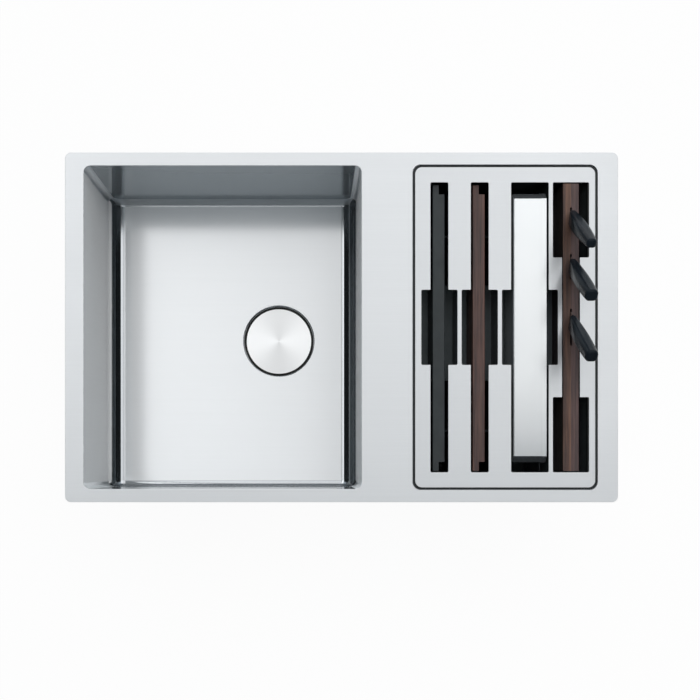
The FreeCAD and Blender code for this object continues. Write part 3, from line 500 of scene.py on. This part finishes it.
# the side colour paints shade on the broad sides of the block's leaves
leafSettings = dict(walnutSettings, sidePaintedShadeColor=(0.42, 0.58, 0.72), sideTurn=(0.8, 0.95))
leftLeafSettings = dict(
    leafSettings, light=(0.19, 0.098, 0.064), dark=(0.05, 0.028, 0.024), shift=(0.3, 0.1, 0),
)
rightLeafSettings = dict(
    leafSettings, light=(0.13, 0.075, 0.068), dark=(0.036, 0.026, 0.027), shift=(0.7, 0.4, 0),
)
dowelSettings = dict(
    walnutSettings, light=(0.55, 0.40, 0.24), dark=(0.40, 0.27, 0.15), stretch=(8, 200, 200),
)
plasticSettings = {
    "cloudSize": 25.0, "smudgeSize": 60.0, "specular": 0.5,
    "rough": (0.5, 0.6), "grainScale": 1200.0, "bump": 0.00006,
}
blackBoardSettings = dict(
    plasticSettings, dark=(0.017, 0.022, 0.024), light=(0.024, 0.031, 0.034),
    rough=(0.42, 0.52), grainScale=1400.0,
)
handleSettings = dict(
    plasticSettings, dark=(0.008, 0.011, 0.015), light=(0.012, 0.017, 0.023),
    rough=(0.22, 0.26), grainScale=2200.0, bump=0.000002, specular=0.07,
)
# the tray's body colours are lighter than black plastic, painted light for its deep slots, and the rim colour
# paints shade round its top
traySettings = dict(
    plasticSettings, dark=(0.066, 0.080, 0.086), light=(0.080, 0.096, 0.102),
    rimPaintedShadeColor=(0.016, 0.019, 0.021), rimHeight=(-0.012, -0.008),
)
wastePlasticSettings = dict(plasticSettings, dark=(0.025, 0.025, 0.027), light=(0.035, 0.035, 0.037))
rubberSettings = dict(
    plasticSettings, dark=(0.014, 0.014, 0.014), light=(0.022, 0.022, 0.022), rough=(0.65, 0.8),
)
padSettings = dict(
    plasticSettings, dark=(0.07, 0.07, 0.075), light=(0.10, 0.10, 0.105), rough=(0.7, 0.85),
)

finishes = [
    (steelFinish, "deckSteel", deckSettings, ["deck_plate"]),
    (steelFinish, "panelSteel", panelSettings, ["accessory_panel"]),
    (bowlFinish, "bowlSteel", bowlSettings, ["main_bowl"]),
    (bowlFinish, "boxSteel", boxSettings, ["accessory_bowl"]),
    (steelFinish, "colanderSteel", colanderSettings, ["colander"]),
    (steelFinish, "bladeSteel", bladeSettings, ["paring_blade", "utility_blade", "chef_blade"]),
    (steelFinish, "wasteSteel", wasteSettings, [
        "waste_flange", "strainer_basket", "basket_knob", "box_waste_grid",
    ]),
    (steelFinish, "clipZinc", zincSettings, [
        "clip_studs", "clip_brackets", "clip_nuts", "waste_screw", "box_waste_screw",
    ]),
    (turnedFinish, "coverSteel", coverSettings, ["waste_cover"]),
    (woodFinish, "walnutBoard", walnutSettings, ["walnut_board"]),
    (woodFinish, "leftLeafWalnut", leftLeafSettings, ["block_left_leaf"]),
    (woodFinish, "rightLeafWalnut", rightLeafSettings, ["block_right_leaf"]),
    (woodFinish, "dowelBeech", dowelSettings, ["block_dowels"]),
    (mouldedFinish, "blackComposite", blackBoardSettings, ["black_board"]),
    (mouldedFinish, "handleBlack", handleSettings, ["paring_handle", "utility_handle", "chef_handle"]),
    (mouldedFinish, "trayBlack", traySettings, ["holder_tray"]),
    (mouldedFinish, "wasteBlack", wastePlasticSettings, ["waste_body", "box_waste_body"]),
    (mouldedFinish, "sealRubber", rubberSettings, [
        "rim_seal", "waste_top_seal", "waste_clamp_seal", "box_waste_seal", "panel_seal", "cover_feet",
    ]),
    (mouldedFinish, "padRubber", padSettings, ["bowl_sound_pad", "box_sound_pads"]),
]
materials = {}
for makeFinish, finishName, settings, pieceNames in finishes:
    materials[finishName] = makeFinish(finishName, settings)
    for pieceName in pieceNames:
        nodes[pieceName].data.materials.clear()
        nodes[pieceName].data.materials.append(materials[finishName])
print("finishes placed")


# Outlet threads and grip ribs below the bowls

mmPerMetre = 1000
outletSettings = {
    "threadPitch": 0.0023, "threadDepth": 0.0004, "threadSteps": 40, "threadSides": 6, "plainEnd": 0.003,
    "bodyRadius": 0.050, "ribFoot": 0.046, "ribHead": 0.0045,
    "ribCount": 32, "ribWidth": 0.0022, "ribDepth": 0.0024, "ribSink": 0.0006,
}


def closeTree(tree, start, end, shape):
    real = growNode(tree, "GeometryNodeRealizeInstances", {"Geometry": shape})
    moved = growNode(tree, "GeometryNodeTransform", {
        "Geometry": real.outputs["Geometry"], "Translation": start["Centre"],
    })
    painted = growNode(tree, "GeometryNodeSetMaterial", {
        "Geometry": moved.outputs["Geometry"], "Material": start["Finish"],
    })
    tree.links.new(painted.outputs["Geometry"], end["Geometry"])


def makeThreadTree():
    tree, start, end = startTree("Geometry", "outletThread", [
        ("Radius", "Float", 0.02), ("Length", "Float", 0.02), ("Turns", "Float", 8.0),
        ("Depth", "Float", 0.0004), ("Steps", "Int", 40), ("Sides", "Int", 6),
        ("Centre", "Vector", (0, 0, 0)), ("Finish", "Material", None),
    ], [("Geometry", "Geometry")])
    helix = growNode(tree, "GeometryNodeCurveSpiral", {
        "Resolution": start["Steps"], "Rotations": start["Turns"], "Height": start["Length"],
        "Start Radius": start["Radius"], "End Radius": start["Radius"],
    })
    crest = growNode(tree, "GeometryNodeCurvePrimitiveCircle", {
        "Resolution": start["Sides"], "Radius": start["Depth"],
    })
    ridge = growNode(tree, "GeometryNodeCurveToMesh", {
        "Curve": helix.outputs["Curve"], "Profile Curve": crest.outputs["Curve"], "Fill Caps": True,
    })
    closeTree(tree, start, end, ridge.outputs["Mesh"])
    return tree


def makeRibTree():
    tree, start, end = startTree("Geometry", "gripRibs", [
        ("Radius", "Float", 0.05), ("Count", "Int", 32), ("Size", "Vector", (0.002, 0.002, 0.03)),
        ("Centre", "Vector", (0, 0, 0)), ("Finish", "Material", None),
    ], [("Geometry", "Geometry")])
    ring = growNode(tree, "GeometryNodeMeshCircle", {"Vertices": start["Count"], "Radius": start["Radius"]})
    rib = growNode(tree, "GeometryNodeMeshCube", {"Size": start["Size"]})
    place = growNode(tree, "GeometryNodeInputPosition").outputs["Position"]
    turn = growNode(tree, "FunctionNodeAlignRotationToVector", {"Vector": place}, axis="X")
    ribs = growNode(tree, "GeometryNodeInstanceOnPoints", {
        "Points": ring.outputs["Mesh"], "Instance": rib.outputs["Mesh"], "Rotation": turn.outputs["Rotation"],
    })
    closeTree(tree, start, end, ribs.outputs["Instances"])
    return tree


def growPiece(name, tree, values):
    seed = bpy.data.objects.new(name + "Seed", bpy.data.meshes.new(name + "Seed"))
    scene.collection.objects.link(seed)
    grower = seed.modifiers.new("grow", "NODES")
    grower.node_group = tree
    for item in tree.interface.items_tree:
        if item.in_out == "INPUT" and item.name in values:
            grower[item.identifier] = values[item.name]
    graph = bpy.context.evaluated_depsgraph_get()
    mesh = bpy.data.meshes.new_from_object(seed.evaluated_get(graph), depsgraph=graph)
    mesh.name = name
    bpy.data.objects.remove(seed)
    piece = bpy.data.objects.new(name, mesh)
    scene.collection.objects.link(piece)
    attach(piece, "sink")


def dressOutlets(settings):
    finish = materials["wasteBlack"]
    mounts = {mount["name"]: mount for mount in frame["record"]["mounts"]}
    thread, ribs = makeThreadTree(), makeRibTree()
    for name, label in (("main_waste_outlet", "mainThread"), ("accessory_waste_outlet", "boxThread")):
        place, size = mounts[name]["pos_m"], mounts[name]["dims"]
        length = size["length_mm"] / mmPerMetre - 2 * settings["plainEnd"]
        growPiece(label, thread, {
            "Radius": size["r_mm"] / mmPerMetre, "Length": length,
            "Turns": length / settings["threadPitch"], "Depth": settings["threadDepth"],
            "Steps": settings["threadSteps"], "Sides": settings["threadSides"],
            "Centre": (place[0], place[1], place[2] - length / 2), "Finish": finish,
        })
    low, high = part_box("waste_body")
    centre = (low + high) / 2
    bottom, top = low.z + settings["ribFoot"], high.z - settings["ribHead"]
    growPiece("bodyRibs", ribs, {
        "Radius": settings["bodyRadius"] + settings["ribDepth"] / 2 - settings["ribSink"],
        "Count": settings["ribCount"], "Size": (settings["ribDepth"], settings["ribWidth"], top - bottom),
        "Centre": (centre.x, centre.y, (bottom + top) / 2), "Finish": finish,
    })


dressOutlets(outletSettings)
print("outlets dressed")


# Floor, light and camera

stageSettings = {"floorSize": 12.0, "floorGap": 0.001, "floorColor": (1.0, 1.0, 1.0), "whiteness": 0.95}
skySettings = {
    "windowTint": (0.99, 0.997, 1.0), "roomTint": (0.84, 0.94, 1.0), "lowest": 0.02, "tiny": 0.0001,
    "leftEnd": (0.0, -0.12), "leftLift": 0.15, "farEnd": (-0.19, -0.22), "farLift": 0.45,
    "rightEnd": (0.12, 0.28), "rightLift": 0.32,
    "ramp": (-0.05, 0.40, 1.04, 1.29), "dipOut": (-0.210, -0.195), "dipIn": (-0.162, -0.168), "dip": 0.3,
    "rightEdge": (0.47, 0.42), "leftEdge": (-0.44, -0.39), "frontEdge": (-0.20, -0.06),
    "roomTurn": (-0.35, 0.35), "room": (0.28, 0.85),
    "flagTurn": (0.50, 0.74), "flagRise": (0.22, 0.42), "flag": 0.015,
}
lampSettings = {"place": (0.5, 0.5, 2.3), "aim": (0, 0.1, 0), "size": (2.4, 1.9), "power": 24}
cameraSettings = {
    "height": 1.502, "x": -0.0435, "y": -0.2029, "frameWidth": 1.03285, "centreX": 0.0125, "centreY": -0.0335,
    "sensor": 36.0,
}


def makeFloor(settings):
    half = settings["floorSize"] / 2
    height = cadLow.z - settings["floorGap"]
    mesh = bpy.data.meshes.new("floor")
    corners = [(-half, -half, height), (half, -half, height), (half, half, height), (-half, half, height)]
    mesh.from_pydata(corners, [], [(0, 1, 2, 3)])
    floor = bpy.data.objects.new("floor", mesh)
    scene.collection.objects.link(floor)
    material, tree, output = emptyMaterial("floorPaper")
    paper = addNode(tree, "BsdfDiffuse", {"Color": opaque(settings["floorColor"])})
    white = addNode(tree, "Emission", {"Color": (1, 1, 1, 1), "Strength": 1.0})
    path = addNode(tree, "LightPath").outputs
    seen = compute(tree, "MAXIMUM", path["Is Camera Ray"], path["Is Glossy Ray"])
    share = compute(tree, "MULTIPLY", seen, settings["whiteness"])
    mix = addNode(tree, "MixShader", {0: share, 1: paper.outputs[0], 2: white.outputs[0]})
    # clear from below, so that the underside can be seen
    under = addNode(tree, "NewGeometry").outputs["Backfacing"]
    clear = addNode(tree, "BsdfTransparent")
    both = addNode(tree, "MixShader", {0: under, 1: mix.outputs[0], 2: clear.outputs[0]})
    tree.links.new(both.outputs[0], output)
    mesh.materials.append(material)


def rise(tree, value, low, high):
    ends = {"Value": value, "From Min": low, "From Max": high}
    return addNode(tree, "MapRange", ends, interpolation_type="SMOOTHSTEP").outputs["Result"]


def makeWorld(settings):
    world = bpy.data.worlds.new("studio")
    world.use_nodes = True
    tree = world.node_tree
    tree.nodes.clear()

    def edges(first, firstKey, second, secondKey):
        pair = rise(tree, first, *settings[firstKey]), rise(tree, second, *settings[secondKey])
        return compute(tree, "MULTIPLY", *pair)

    look = axes(tree, addNode(tree, "TexCoord").outputs["Generated"])
    height = compute(tree, "MAXIMUM", look["Z"], settings["lowest"])
    across = compute(tree, "DIVIDE", look["X"], height)
    along = compute(tree, "DIVIDE", look["Y"], height)
    # the soft window overhead, brighter to the back and at its two ends
    lift = 1.0
    for end in ("left", "far", "right"):
        share = rise(tree, across, *settings[end + "End"])
        lift = compute(tree, "ADD", compute(tree, "MULTIPLY", share, settings[end + "Lift"]), lift)
    window = compute(tree, "MULTIPLY", mapRange(tree, along, *settings["ramp"]), lift)
    # a narrow darker bar in it
    bar = edges(across, "dipOut", across, "dipIn")
    window = compute(tree, "MULTIPLY", window, mixLevel(tree, bar, 1.0, settings["dip"]))
    mask = edges(across, "rightEdge", across, "leftEdge")
    mask = compute(tree, "MULTIPLY", mask, rise(tree, along, *settings["frontEdge"]))
    # the room round it, with two dark side flags
    room = mixLevel(tree, rise(tree, look["Y"], *settings["roomTurn"]), *settings["room"])
    flat = addNode(tree, "CombineXYZ", {"X": look["X"], "Y": look["Y"]}).outputs[0]
    spread = addNode(tree, "VectorMath", {0: flat}, operation="LENGTH").outputs["Value"]
    reach = compute(tree, "MAXIMUM", spread, settings["tiny"])
    side = compute(tree, "DIVIDE", compute(tree, "ABSOLUTE", look["X"]), reach)
    flags = edges(side, "flagTurn", look["Z"], "flagRise")
    dim = mixLevel(tree, flags, room, settings["flag"])
    tint = mixColor(tree, mask, opaque(settings["roomTint"]), opaque(settings["windowTint"]))
    light = addNode(tree, "Background", {"Color": tint, "Strength": mixLevel(tree, mask, dim, window)})
    output = addNode(tree, "OutputWorld")
    tree.links.new(light.outputs[0], output.inputs["Surface"])
    scene.world = world


def makeLamp(settings):
    light = bpy.data.lights.new("overhead", "AREA")
    light.shape = "RECTANGLE"
    light.size, light.size_y = settings["size"]
    light.energy = settings["power"]
    lamp = bpy.data.objects.new("overhead", light)
    lamp.location = settings["place"]
    lamp.rotation_mode = "QUATERNION"
    lamp.rotation_quaternion = (Vector(settings["aim"]) - Vector(settings["place"])).to_track_quat("-Z", "Y")
    lamp.visible_glossy = False
    scene.collection.objects.link(lamp)


def makeCamera(settings):
    data = bpy.data.cameras.new("plan")
    width = settings["frameWidth"]
    data.sensor_width = settings["sensor"]
    data.lens = data.sensor_width * settings["height"] / width
    data.shift_x = (settings["centreX"] - settings["x"]) / width
    data.shift_y = (settings["centreY"] - settings["y"]) / width
    camera = bpy.data.objects.new("plan", data)
    camera.location = (settings["x"], settings["y"], deckTop + settings["height"])
    scene.collection.objects.link(camera)
    scene.camera = camera


makeFloor(stageSettings)
makeWorld(skySettings)
makeLamp(lampSettings)
makeCamera(cameraSettings)
scene.view_settings.view_transform = "Standard"
print("stage ready")
